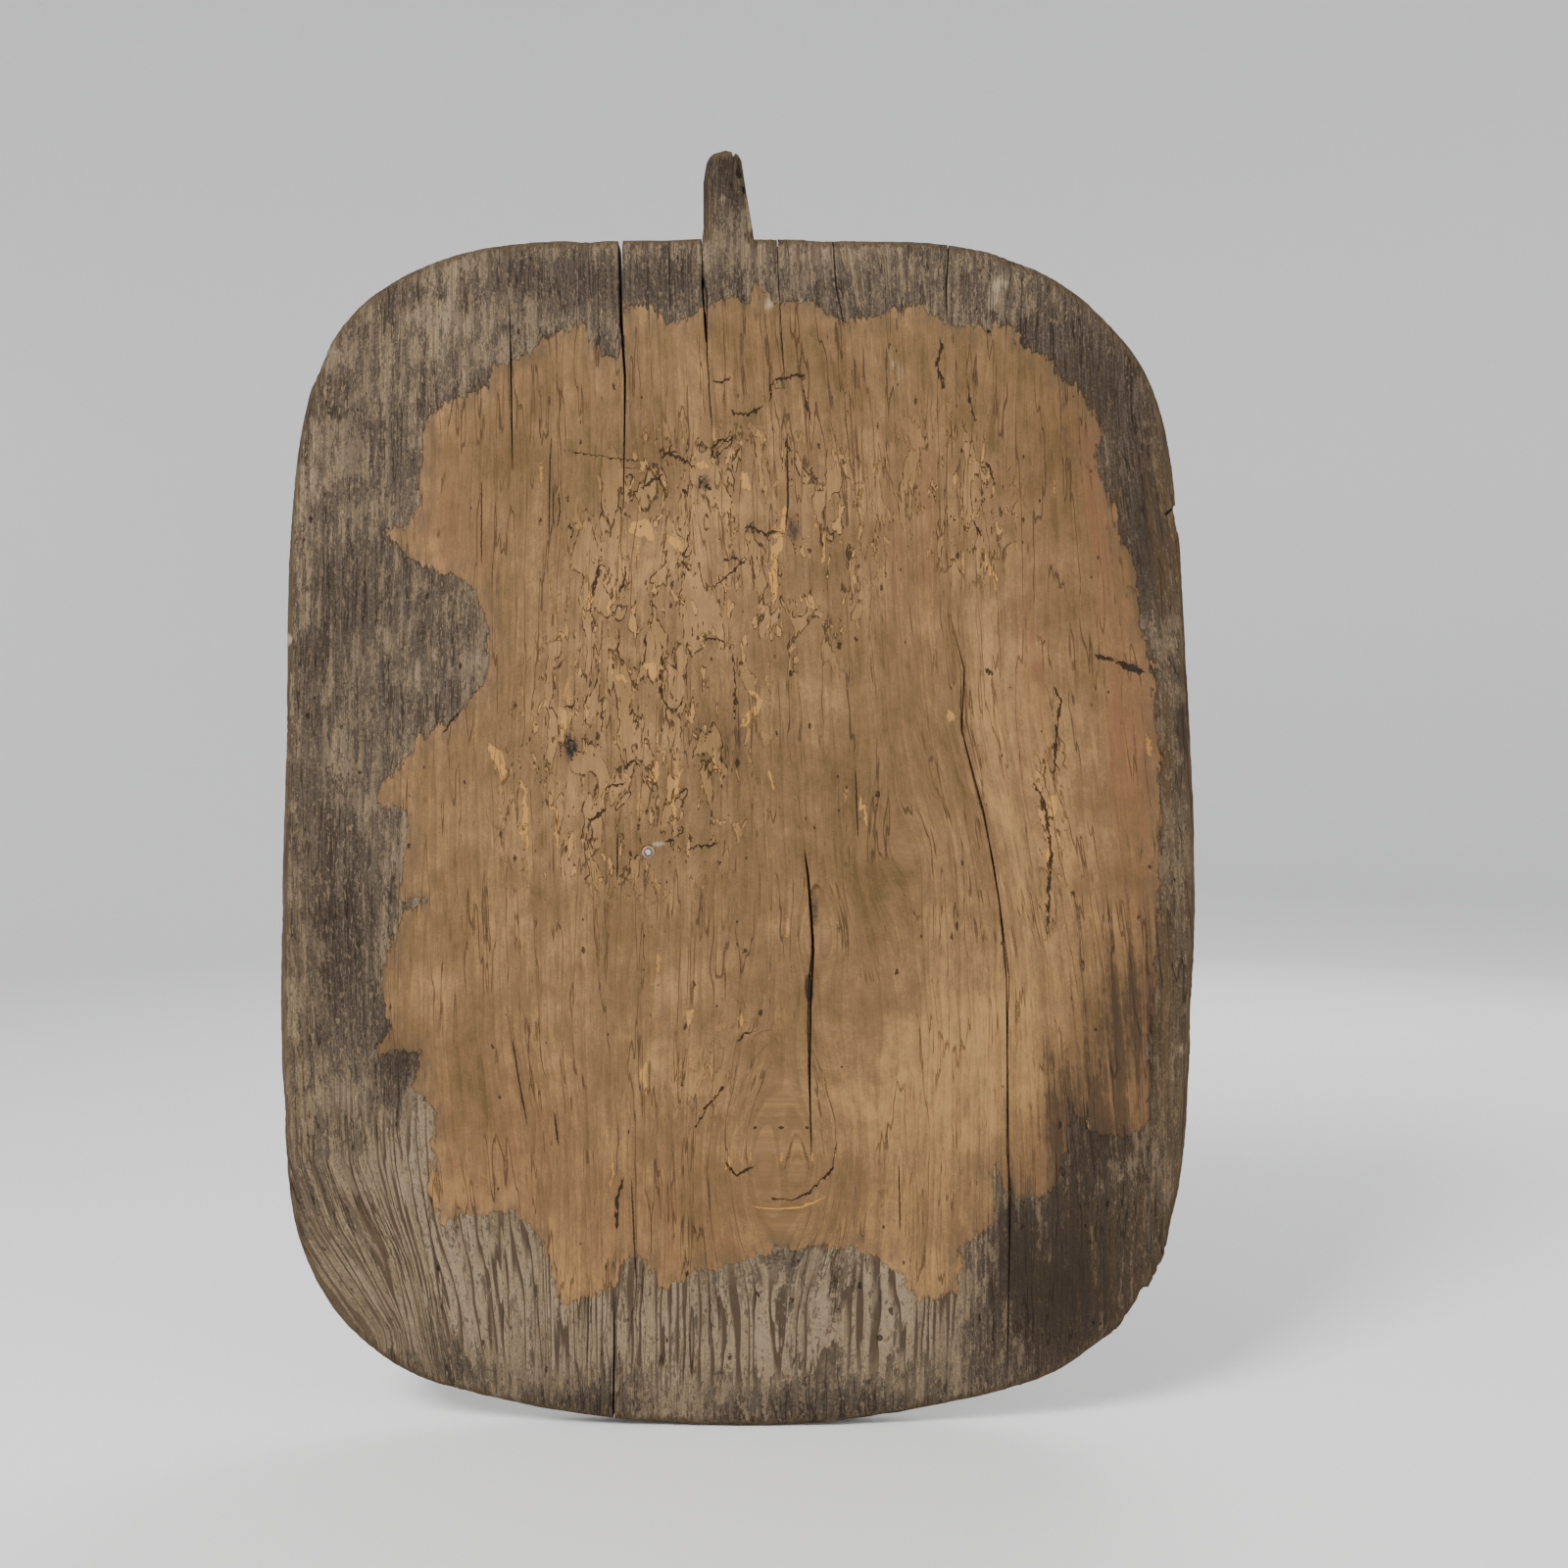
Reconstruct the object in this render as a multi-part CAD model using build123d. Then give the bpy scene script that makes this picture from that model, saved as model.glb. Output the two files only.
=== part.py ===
from build123d import *
import os

# Old carved dough board: one wide softwood slab with a short tab handle and three iron nails.
# It stands on its curved lower edge. +Z runs up the grain to the handle, the worn face looks
# towards -Y, and the origin is the bottom centre of the bounding box.

os.makedirs("parts", exist_ok=True)

# ---- driving dimensions, mm ----
BOARD_HEIGHT = 915.0
BOARD_WIDTH = 656.0
THICKNESS = 28.0
FRONT_EDGE_RADIUS = 6.0
BACK_EDGE_RADIUS = 3.5

FRONT_Y = -THICKNESS / 2
BACK_Y = THICKNESS / 2
HALF_WIDTH = BOARD_WIDTH / 2

# Handle: carved from the same slab, one upright side and one slanting side.
HANDLE_BASE_Z = 851.0
HANDLE_ROOT = 40.0
HANDLE_LEFT_X = -24.6
HANDLE_RIGHT_X = 11.4
HANDLE_CHAMFER = 4.0
HANDLE_SIDE_MIN_LENGTH = 15.0
TIP_BEVEL = 8.0

# Nails: the head lies flush with the worn face; the shank is a blind, tapered driven fit.
NAIL_LENGTH = 22.0
NAIL_TIP_RADIUS = 0.8
HEAD_THICKNESS = 1.6

# ---- outlines as (x, z) points, clockwise from the lowest point ----
LOWEST = (0, 0)
LOWER_LEFT = [(-90, 5), (-178, 20), (-240, 40), (-283, 75), (-311, 122)]
LEFT_SIDE = [(-324.5, 200), (-HALF_WIDTH, 320), (-325, 470), (-323, 590), (-313.5, 710)]
UPPER_LEFT = [(-286, 785), (-234, 827), (-170, 846)]
TOP_EDGE = [(-85, 849.5), (0, 851), (80, 849.5), (145, 847)]
UPPER_RIGHT = [(207, 832), (259, 797), (295, 749)]
RIGHT_SIDE = [(313, 672), (322, 545), (HALF_WIDTH, 370), (323, 238), (310, 144)]
LOWER_RIGHT = [(282, 88), (236, 43), (160, 18), (79, 4)]

HANDLE_OUTLINE = [
    (HANDLE_LEFT_X, HANDLE_BASE_Z), (-24.8, 890), (-22.5, 903), (-17.5, 911),
    (-9, BOARD_HEIGHT), (-4.6, 913.5), (-3.4, 908), (-1.6, 912), (2.6, 906),
    (5.8, 884), (8.7, 868), (HANDLE_RIGHT_X, HANDLE_BASE_Z),
]

# Checks as (x, z, half width) from the wide end to the tip.
THROUGH_CHECKS = {
    "upper left": [
        (-84.5, 860, 2.2), (-84, 838, 1.4), (-83, 788, 1.1), (-80.5, 750, 0.9), (-81.5, 656, 0.1),
    ],
    "lower left": [(-88.8, -5, 0.8), (-88.6, 40, 0.7), (-88, 95, 0.1)],
}
# Deep checks stop short of the back.
DEEP_CHECKS = {
    "shoulder": [(-26, 862, 1.0), (-25.5, 820, 0.7), (-22, 765, 0.5), (-17.5, 709, 0.1)],
    "upper right": [(28, 862, 0.6), (29, 821, 0.7), (33, 752, 0.1)],
    "far right": [(151.5, 862, 0.6), (149, 815, 0.5), (149.5, 789, 0.1)],
}
DEEP_CHECK_DEPTH = 21.0
FACE_CHECKS = {
    "long right": [
        (152, 579, 0.1), (162, 541, 0.45), (160, 498, 0.45), (176, 439, 0.5), (187, 375, 0.55),
        (192, 321, 0.5), (193, 240, 0.5), (194, 130, 0.4), (192.5, 34, 0.1),
    ],
    "central": [
        (47.5, 413, 0.1), (50, 395, 0.7), (54, 340, 0.9), (52, 300, 0.8), (51.5, 250, 0.6), (52.5, 193, 0.1),
    ],
    "upper face": [(-163, 806, 0.1), (-162, 761, 0.7), (-160.5, 683, 0.1)],
}
FACE_CHECK_DEPTH = 7.0

# Bark pockets on the central check: centre x, centre z, width, height.
BARK_POCKETS = [(56, 373, 10, 30), (51.5, 314, 7, 20)]
BARK_POCKET_DEPTH = 2.5

# Edge damage on the right: a split with a flake gone, and a corner broken right through.
OUTSIDE_X = HALF_WIDTH + 5
EDGE_NOTCH = [
    (OUTSIDE_X, 662), (313, 660), (305, 652.6), (305.8, 651.4), (311.6, 656), (315.5, 644), (OUTSIDE_X, 640),
]
EDGE_NOTCH_DEPTH = 12.0
CORNER_CHIP = [(OUTSIDE_X, 107), (294, 104), (288.5, 101.5), (284.5, 92), (281, 85), (OUTSIDE_X, 60)]

# Nails: name -> head centre x and z, head radius, shank radius, how far the head is sunk.
NAILS = {
    "nail_centre": {"x": -64.0, "z": 411.0, "head": 4.5, "shank": 1.9, "sunk": 0.0},
    "nail_left": {"x": -119.5, "z": 489.0, "head": 2.4, "shank": 2.0, "sunk": 2.5},
    "nail_lower": {"x": 101.5, "z": 64.0, "head": 2.2, "shank": 1.8, "sunk": 1.0},
}


def slab(outline_face, thickness):
    """Extrude a face drawn on the XZ plane so that it is centred on Y = 0."""
    return extrude(outline_face, amount=thickness / 2, both=True)


def closed_face(points):
    """Flat face on the XZ plane from straight edges through (x, z) points."""
    corners = [Vector(x, 0, z) for x, z in points]
    return Face(Wire.make_polygon(corners, close=True))


def ribbon(check):
    """Closed outline of a crack: down one side, back up the other."""
    left = [(x - half, z) for x, z, half in check]
    right = [(x + half, z) for x, z, half in reversed(check)]
    return left + right


def front_cut(points, depth):
    """Prism standing on the front face and reaching depth into the wood."""
    prism = slab(closed_face(points), THICKNESS)
    return prism.moved(Location((0, depth - THICKNESS, 0)))


def lathed(profile, x, z):
    """Revolve a (radius, depth) profile round a Y axis through x, z; depth 0 is the front face."""
    corners = [Vector(x + radius, FRONT_Y + depth, z) for radius, depth in profile]
    axis = Axis((x, 0, z), (0, 1, 0))
    return revolve(Face(Wire.make_polygon(corners, close=True)), axis, 360)


def nail_profile(nail):
    """Head, tapered shank and blunt point as (radius, depth) corners."""
    top = nail["sunk"]
    under_head = top + HEAD_THICKNESS
    return [
        (0, top), (nail["head"], top), (nail["head"], under_head), (nail["shank"], under_head),
        (NAIL_TIP_RADIUS, top + NAIL_LENGTH), (0, top + NAIL_LENGTH),
    ]


def sunk_mouth(nail):
    """The open mouth above a sunk nail head, down to the head."""
    return [(0, 0), (nail["head"], 0), (nail["head"], nail["sunk"]), (0, nail["sunk"])]


# ---- board ----
body_points = [LOWEST] + LOWER_LEFT + LEFT_SIDE + UPPER_LEFT + TOP_EDGE
body_points += UPPER_RIGHT + RIGHT_SIDE + LOWER_RIGHT
body_wire = Wire([Edge.make_spline([Vector(x, 0, z) for x, z in body_points], periodic=True)])
body = slab(Face(body_wire), THICKNESS)
body = fillet(body.edges().group_by(Axis.Y)[0], FRONT_EDGE_RADIUS)
body = fillet(body.edges().group_by(Axis.Y)[-1], BACK_EDGE_RADIUS)

handle_root = [(HANDLE_RIGHT_X, HANDLE_BASE_Z - HANDLE_ROOT), (HANDLE_LEFT_X, HANDLE_BASE_Z - HANDLE_ROOT)]
handle = slab(closed_face(HANDLE_OUTLINE + handle_root), THICKNESS)
face_edges = handle.edges().group_by(Axis.Y)[0] + handle.edges().group_by(Axis.Y)[-1]
long_sides = face_edges.filter_by(
    lambda edge: edge.length > HANDLE_SIDE_MIN_LENGTH and edge.center().Z > HANDLE_BASE_Z
)
handle = chamfer(long_sides, HANDLE_CHAMFER)
tip_corners = [
    Vector(0, FRONT_Y, BOARD_HEIGHT - TIP_BEVEL), Vector(0, FRONT_Y + TIP_BEVEL, BOARD_HEIGHT),
    Vector(0, FRONT_Y, BOARD_HEIGHT),
]
handle -= extrude(Face(Wire.make_polygon(tip_corners, close=True)), amount=-2 * HANDLE_LEFT_X, both=True)
board = body + handle

for check in THROUGH_CHECKS.values():
    board -= slab(closed_face(ribbon(check)), THICKNESS)
for check in DEEP_CHECKS.values():
    board -= front_cut(ribbon(check), DEEP_CHECK_DEPTH)
for check in FACE_CHECKS.values():
    board -= front_cut(ribbon(check), FACE_CHECK_DEPTH)
for x, z, width, height in BARK_POCKETS:
    pocket = Plane.XZ * Location((x, z)) * Ellipse(width / 2, height / 2)
    pocket_cut = slab(pocket, THICKNESS)
    board -= pocket_cut.moved(Location((0, BARK_POCKET_DEPTH - THICKNESS, 0)))
board -= front_cut(EDGE_NOTCH, EDGE_NOTCH_DEPTH)
board -= slab(closed_face(CORNER_CHIP), THICKNESS)

# ---- nails ----
for name, nail in NAILS.items():
    solid = lathed(nail_profile(nail), nail["x"], nail["z"])
    board -= solid
    if nail["sunk"] > 0:
        board -= lathed(sunk_mouth(nail), nail["x"], nail["z"])
    solid.label = name
    export_step(solid, "parts/" + name + ".step")

board.label = "board"
export_step(board, "parts/board.step")
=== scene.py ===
"""Carved dough board: the looks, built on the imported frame. All lists of places are (x, z) in millimetres."""

import math

import bmesh
import bpy
import numpy as np
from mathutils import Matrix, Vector, kdtree, noise


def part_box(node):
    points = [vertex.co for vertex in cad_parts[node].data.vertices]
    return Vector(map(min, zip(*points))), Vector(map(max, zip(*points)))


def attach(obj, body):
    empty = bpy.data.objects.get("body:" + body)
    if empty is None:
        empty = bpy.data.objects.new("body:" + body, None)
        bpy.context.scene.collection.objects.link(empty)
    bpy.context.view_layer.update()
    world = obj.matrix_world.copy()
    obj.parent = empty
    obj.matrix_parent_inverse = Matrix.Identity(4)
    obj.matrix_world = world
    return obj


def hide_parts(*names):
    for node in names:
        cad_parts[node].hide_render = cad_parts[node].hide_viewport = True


bl_info = {
    "name": "Carved Dough Board",
    "version": (1, 0, 0),
    "blender": (4, 5, 0),
    "location": "View3D > Sidebar > Dough Board",
    "description": "Weathered one-piece dough board with a tab handle and old iron nails",
    "category": "Object",
}

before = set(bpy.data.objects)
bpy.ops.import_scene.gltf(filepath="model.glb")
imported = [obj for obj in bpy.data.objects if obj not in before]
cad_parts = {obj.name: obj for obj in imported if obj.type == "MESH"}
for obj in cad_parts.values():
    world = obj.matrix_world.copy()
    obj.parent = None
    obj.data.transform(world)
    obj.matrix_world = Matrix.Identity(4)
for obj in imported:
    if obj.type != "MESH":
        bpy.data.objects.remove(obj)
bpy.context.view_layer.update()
BOARD_LOW, BOARD_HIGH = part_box("board")
MM = 0.001
HANDLE_FOOT = 0.852  # height where the handle leaves the slab, metres
BACK_ROUND = 3.5 * MM  # width of the rounding round the back
RIM_BAND = 14 * MM  # how far in from the rim the wear reaches

# ---- the face: where the grey crust ends and the scraped wood begins ----
SCRAPED_OUTLINE = [
    (-81, 803), (-71, 798), (-61, 796), (-51, 788), (-38, 791), (-25, 799), (-7, 808), (6, 804),
    (16, 820), (23, 804), (51, 804), (70, 792), (86, 789), (108, 796), (132, 801), (148, 789), (180, 785),
    (198, 789), (202, 771), (223, 763), (232, 747), (248, 736), (261, 709), (255, 693), (267, 661),
    (274, 634), (285, 618), (288, 575), (295, 536), (300, 498), (301, 401), (297, 319), (294, 263),
    (293, 218), (280, 209), (253, 212), (239, 231), (234, 206), (229, 174), (213, 164), (196, 161),
    (183, 185), (183, 147), (159, 131), (156, 96), (127, 91), (116, 112), (86, 128), (25, 128), (-2, 116),
    (-31, 112), (-52, 99), (-68, 121), (-84, 121), (-90, 99), (-125, 88), (-138, 131), (-160, 156),
    (-192, 153), (-211, 147), (-219, 169), (-219, 228), (-232, 241), (-227, 268), (-253, 268),
    (-265, 260), (-248, 287), (-256, 326), (-246, 348), (-240, 364), (-222, 378), (-243, 378),
    (-237, 413), (-235, 442), (-262, 447), (-246, 466), (-224, 495), (-203, 504), (-181, 531),
    (-177, 568), (-187, 598), (-206, 611), (-237, 622), (-250, 641), (-235, 645), (-227, 661),
    (-225, 698), (-222, 720), (-203, 733), (-178, 742), (-175, 758), (-154, 766), (-135, 779),
    (-112, 789), (-98, 766), (-84, 763),
]

# ---- how the grain runs: each line is one year ring's course from the top down ----
GRAIN_LINES = [
    [(-318, 600), (-324, 389), (-316, 193), (-299, 142), (-272, 102), (-248, 67)],
    [(-283, 670), (-286, 389), (-274, 189), (-260, 156), (-244, 123), (-234, 83), (-225, 39)],
    [(-230, 740), (-237, 389), (-238, 209), (-230, 152), (-218, 102), (-206, 25)],
    [(-163, 806), (-161, 683), (-167, 460), (-161, 279), (-150, 215), (-146, 109), (-144, 18)],
    [(-85, 848), (-82, 656), (-86, 425), (-88, 249), (-86, 144), (-88, 6)],
    [(-25, 822), (-18, 709), (-20, 460), (-23, 284), (-27, 144), (-29, 11)],
    [(29, 822), (35, 707), (44, 530), (51, 391), (51, 249), (53, 144), (51, 11)],
    [(68, 849), (76, 785), (89, 600), (103, 425), (121, 284), (121, 144), (117, 11)],
    [(151, 848), (149, 789), (152, 579), (160, 498), (182, 407), (192, 342), (192, 199), (192, 11)],
    [(194, 811), (189, 600), (194, 509), (208, 425), (226, 319), (236, 179), (236, 39)],
    [(233, 775), (244, 530), (265, 354), (279, 179), (279, 74)],
    [(279, 726), (307, 530), (319, 319), (314, 179)],
]

# Knots push the grain aside: (x, z, radius, push).
KNOTS = [
    (31, 192, 46, 26), (117, 407, 34, 16), (-38, 660, 26, -10), (58, 352, 16, 12),
]

# ---- drying checks: (half width, course) ----
CHECKS = [
    (0.3, [(-85, 848), (-84, 786), (-81, 779), (-81, 719), (-82, 656), (-86, 640)]),
    (0.5, [(-26, 855), (-25, 822), (-22, 811), (-22, 765), (-18, 709)]), (0.3, [(-49, 842), (-48, 798)]),
    (0.25, [(-163, 806), (-162, 761), (-161, 683)]), (0.4, [(-183, 677), (-183, 615)]),
    (0.4, [(28, 853), (29, 822), (33, 752)]), (0.6, [(35, 712), (36, 661), (34, 640)]),
    (0.5, [(68, 849), (70, 817), (76, 785)]), (0.3, [(151, 848), (149, 817), (149, 789)]),
    (0.3, [(152, 579), (159, 541), (160, 498), (167, 469), (175, 439), (182, 407), (187, 375),
        (194, 321), (193, 294), (192, 199), (195, 169), (193, 78), (192, 34)]),
    (0.5, [(48, 413), (51, 391), (54, 348), (51, 319), (50, 289), (51, 249), (53, 193)]),
    (0.4, [(-161, 279), (-157, 252), (-150, 215)]), (0.6, [(-131, 225), (-128, 201)]),
    (0.3, [(-88, 95), (-88, 46), (-89, 6)]), (0.4, [(-76, 179), (-74, 137), (-72, 95)]),
    (0.5, [(-86, 425), (-86, 392)]), (0.4, [(-133, 709), (-134, 692), (-135, 634)]),
    (0.4, [(-128, 669), (-127, 654), (-129, 643)]), (0.4, [(115, 190), (116, 140)]),
    (0.4, [(84, 470), (86, 420)]),
]

# ---- short dark scars left by beetles and blades: (half width, course) ----
SCARS = [
    (1.5, [(0, 899), (0.4, 893)]), (1.2, [(1.5, 894), (1.8, 889)]), (1.5, [(3.4, 889), (4.2, 882)]),
    (0.7, [(-52, 418), (-48, 420), (-45, 418)]),
    (0.8, [(24, 746), (29, 750), (35, 749), (39, 752), (46, 752), (49, 750)]),
    (0.6, [(46, 745), (48, 734), (51, 726), (53, 714)]), (0.6, [(24, 745), (23, 733)]),
    (0.8, [(-18, 748), (-14, 746), (-9, 748), (-6, 750)]),
    (0.8, [(-4, 727), (-2, 724), (4, 724), (8, 723), (13, 727), (18, 729)]),
    (0.9, [(-55, 692), (-50, 696), (-47, 702)]), (0.8, [(-50, 695), (-41, 693), (-33, 687), (-30, 685)]),
    (0.8, [(-19, 691), (-18, 699), (-14, 705), (-9, 706), (-2, 704)]),
    (0.5, [(-19, 690), (-13, 695), (-6, 701), (-5, 714)]),
    (0.9, [(-69, 671), (-64, 673), (-62, 678), (-60, 676), (-53, 681)]),
    (0.5, [(-80, 679), (-77, 681), (-74, 679), (-77, 675)]), (1.0, [(-40, 671), (-36, 666)]),
    (0.9, [(-26, 679), (-28, 669)]), (0.8, [(-25, 678), (-19, 670)]),
    (0.9, [(34, 706), (35, 702), (38, 695)]),
    (0.7, [(4, 642), (8, 644), (13, 642), (19, 638), (26, 640), (33, 639)]),
    (0.9, [(-43, 621), (-38, 616), (-34, 610)]),
    (0.6, [(-18, 600), (-11, 605), (-2, 613), (4, 619), (-4, 621), (-13, 618)]),
    (0.7, [(-99, 620), (-100, 608), (-106, 590)]), (0.8, [(-79, 615), (-82, 603), (-85, 595)]),
    (0.5, [(-34, 640), (-36, 630), (-39, 621)]),
    (0.3, [(-127, 699), (-112, 696), (-85, 692), (-66, 690)]),
    (0.5, [(-120, 646), (-118, 641), (-119, 635)]),
    (0.8, [(-81, 470), (-78, 475), (-74, 476), (-70, 472)]),
    (0.7, [(-95, 456), (-90, 459), (-84, 459), (-80, 461)]),
    (0.9, [(-109, 434), (-103, 435), (-97, 440), (-94, 443)]),
    (0.6, [(-56, 562), (-53, 553), (-55, 531), (-54, 521), (-49, 513), (-45, 512), (-41, 516),
        (-39, 523)]),
    (0.6, [(-26, 565), (-14, 562), (-8, 560), (-11, 555)]), (0.5, [(-85, 570), (-85, 550)]),
    (0.6, [(-97, 518), (-97, 496)]), (0.7, [(-66, 567), (-66, 555), (-68, 544)]),
    (0.5, [(-3, 553), (-2, 530), (-2, 504)]), (0.6, [(-36, 413), (-29, 415), (-19, 416), (-14, 418)]),
    (0.7, [(-124, 516), (-119, 514), (-115, 521)]), (0.6, [(-211, 495), (-204, 505), (-199, 512)]),
    (0.7, [(-9, 244), (-22, 229), (-31, 213)]), (0.7, [(-9, 190), (-1, 180), (12, 187)]),
    (0.6, [(23, 165), (38, 161), (52, 169), (68, 185), (70, 204)]),
    (0.5, [(-1, 275), (5, 282), (13, 283)]), (0.9, [(-81, 179), (-86, 164), (-86, 142)]),
    (0.8, [(226, 530), (231, 519), (228, 502), (226, 460)]),
    (0.9, [(210, 462), (217, 451), (220, 439), (224, 410), (222, 380), (221, 347)]),
    (0.8, [(143, 780), (146, 772), (142, 760), (148, 741)]), (0.7, [(178, 785), (181, 780)]),
    (0.9, [(178, 690), (183, 676)]), (0.7, [(165, 745), (166, 730), (171, 716)]),
    (1.3, [(256, 552), (263, 549), (269, 547)]), (2.4, [(271, 547), (279, 543), (290, 539)]),
    (0.9, [(168, 648), (174, 636)]), (1.2, [(176, 542), (182, 538)]),
]

# ---- fresh tan chips and open galleries: (half width, course) ----
CHIPS = [
    (2.4, [(8, 527), (16, 520), (11, 511), (1, 501)]), (1.6, [(-122, 536), (-123, 516)]),
    (1.8, [(-124, 513), (-123, 498)]), (2.6, [(-88, 536), (-79, 533)]),
    (2.8, [(-68, 544), (-60, 545), (-60, 533)]), (4.2, [(-177, 488), (-171, 477), (-167, 464)]),
    (1.9, [(-156, 464), (-153, 454), (-152, 437), (-152, 412)]),
    (1.6, [(-135, 446), (-131, 441), (-130, 420), (-130, 405)]),
    (2.0, [(-58, 477), (-59, 467), (-61, 459)]),
    (1.2, [(-40, 474), (-42, 464), (-46, 451), (-45, 437), (-46, 425)]), (2.4, [(4, 682), (8, 670)]),
    (2.0, [(33, 660), (33, 640)]), (2.8, [(21, 637), (31, 636), (26, 620), (26, 588)]),
    (2.6, [(-30, 687), (-21, 687)]), (5.0, [(-78, 640), (-68, 645), (-60, 634)]),
    (3.2, [(-52, 636), (-42, 632), (-40, 624)]), (2.4, [(-104, 596), (-106, 586)]),
    (2.2, [(-90, 592), (-92, 584)]), (3.4, [(225, 453), (224, 436)]),
    (1.1, [(223, 432), (224, 412), (222, 392)]), (1.5, [(175, 627), (182, 607), (184, 596)]),
    (1.0, [(-91, 202), (-90, 180), (-93, 166)]), (1.3, [(-33, 300), (-35, 286)]),
    (1.6, [(1, 296), (4, 288)]), (1.2, [(-66, 262), (-66, 236)]),
    (0.9, [(8, 158), (26, 156), (44, 157), (62, 166)]), (1.6, [(-6, 192), (-10, 184)]),
    (1.8, [(150, 512), (154, 505)]), (1.4, [(60, 640), (62, 618)]), (1.3, [(22, 470), (24, 452)]),
    (1.2, [(88, 452), (92, 430)]),
]

# ---- soft patches: (x, z, reach across, reach along, strength) ----
TONE_PATCHES = [
    (240, 90, 60, 85, -1.3), (288, 640, 26, 90, -1.1), (303, 480, 18, 40, -0.5), (250, 755, 45, 45, -0.6),
    (-265, 600, 45, 70, -0.28), (-285, 340, 30, 60, -0.6), (-245, 268, 22, 30, -0.9),
    (-255, 150, 70, 90, 0.6), (-150, 100, 70, 50, 0.8), (-20, 70, 90, 36, 0.95), (125, 90, 45, 36, 0.9),
    (-104, 18, 40, 12, -0.7), (70, 14, 70, 13, -0.6), (-190, 40, 40, 14, -0.4), (-205, 760, 30, 40, 0.3),
    (-262, 740, 40, 60, -0.25), (20, 838, 60, 12, 0.5), (-9, 491, 32, 28, -0.4), (84, 446, 30, 85, -0.45),
    (160, 250, 58, 100, 1.2), (201, 540, 45, 130, 0.35), (20, 150, 70, 25, -0.35),
    (-150, 700, 70, 80, -0.5), (50, 765, 120, 30, -0.6), (215, 690, 46, 90, -0.85),
    (-60, 700, 26, 24, -0.35), (-60, 620, 50, 40, 0.3), (-10, 570, 60, 50, 0.2), (-40, 260, 70, 60, 0.15),
    (-95, 150, 60, 30, -0.1), (215, 300, 20, 60, 0.3), (-8, 888, 22, 32, -1.1), (225, 450, 44, 70, 0.4),
    (305, 290, 18, 110, -0.7), (-90, 822, 110, 20, -0.7), (-300, 450, 20, 90, -0.4),
    (-250, 560, 60, 60, -0.3), (-300, 580, 20, 70, -0.4), (-240, 560, 22, 40, 0.2),
]
WORM_PATCHES = [
    (-20, 650, 90, 75, 1.0), (-70, 540, 80, 90, 0.8), (-120, 440, 70, 80, 0.7), (-30, 440, 60, 70, 0.5),
    (224, 450, 16, 90, 0.8), (170, 640, 40, 60, 0.6), (60, 600, 50, 90, 0.5), (-40, 230, 60, 60, 0.4),
    (150, 700, 60, 70, 0.45), (20, 300, 60, 70, 0.35),
]
# Darker patches; the narrow strip down the left side of the handle is painted shade.
DARK_AND_SHADE_PATCHES = [
    (250, 215, 36, 42, 1.0), (235, 110, 62, 70, 0.9), (285, 300, 16, 70, 0.6), (196, 140, 12, 40, 0.5),
    (300, 640, 18, 60, 0.6), (318, 500, 6, 40, 0.9), (20, 815, 120, 8, 0.25), (-9, 491, 30, 24, 0.35),
    (268, 290, 26, 60, 0.7), (225, 250, 14, 40, 0.4), (-25, 882, 3.5, 34, 1.6), (-238, 262, 16, 18, 0.6),
    (-246, 330, 14, 26, 0.5), (-4, 870, 14, 24, 0.35), (262, 740, 20, 30, 0.4),
]
STAIN_PATCHES = [
    (55, 373, 5, 14, 0.85), (51, 314, 4, 11, 0.95), (53, 345, 2, 14, 0.6), (-165, 786, 12, 4, 0.7),
    (-119.5, 486, 5, 9, 1.0), (-122, 470, 8, 10, 0.3), (40, 640, 7, 8, 0.75), (38, 652, 6, 10, 0.35),
    (101, 65, 4, 5, 0.7), (281, 543, 7, 4, 0.9), (267, 548, 5, 2.5, 0.7), (-30, 688, 8, 5, 0.4),
    (-24, 674, 7, 7, 0.5), (9, 309, 4, 16, 0.35), (196, 305, 8, 12, 0.3), (-93, 198, 9, 14, 0.35),
    (-23, 676, 9, 8, 0.3), (-52, 694, 7, 5, 0.4),
]
RED_PATCHES = [
    (240, 660, 26, 80, 0.8), (215, 560, 22, 90, 0.5), (270, 470, 26, 90, 0.6), (130, 640, 20, 80, 0.3),
    (-200, 620, 22, 60, 0.3), (-60, 130, 60, 40, 0.4), (-170, 190, 40, 60, 0.4), (308, 300, 18, 140, 0.9),
    (306, 640, 20, 90, 0.7), (312, 480, 14, 60, 0.6), (-312, 330, 14, 160, 0.35),
    (255, 130, 60, 90, 0.35), (-260, 110, 40, 60, 0.25),
]
# Pale specks and scuffs; the two narrow strips on the right side of the handle are painted light.
PALE_PATCHES = [
    (-320, 563, 3, 5, 1.0), (-56, 417, 6, 2.2, 0.8), (-12, 877, 4, 6, 0.45), (6.2, 872, 2, 8, 0.8),
    (8.6, 860, 2, 8, 0.8), (22, 803, 6, 7, 0.6), (184, 812, 10, 14, 0.6), (163, 830, 8, 10, 0.4),
    (112, 760, 8, 14, 0.4), (-61, 414, 5, 4, 0.4),
]

# Splinters lost from the rim, and the fuller lower right corner: (x, z, reach, depth).
LOST_EDGES = [
    (289, 97, 54, -5.0), (283, 86, 18, 2.4), (314, 650, 10, 1.5), (-300, 760, 16, 1.6),
    (-325, 500, 22, 1.2), (60, 851, 14, 1.2), (-110, 850, 12, 1.2), (200, 838, 14, 1.4),
    (-322, 230, 20, 1.2), (324, 300, 26, 1.3), (-200, 22, 16, 1.2),
]

# Which iron each nail is made of.
NAIL_NODES = {"nail_centre": "polished_iron", "nail_left": "rusted_iron", "nail_lower": "rusted_iron"}


# ------------------------------------------------------------------ settings


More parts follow.
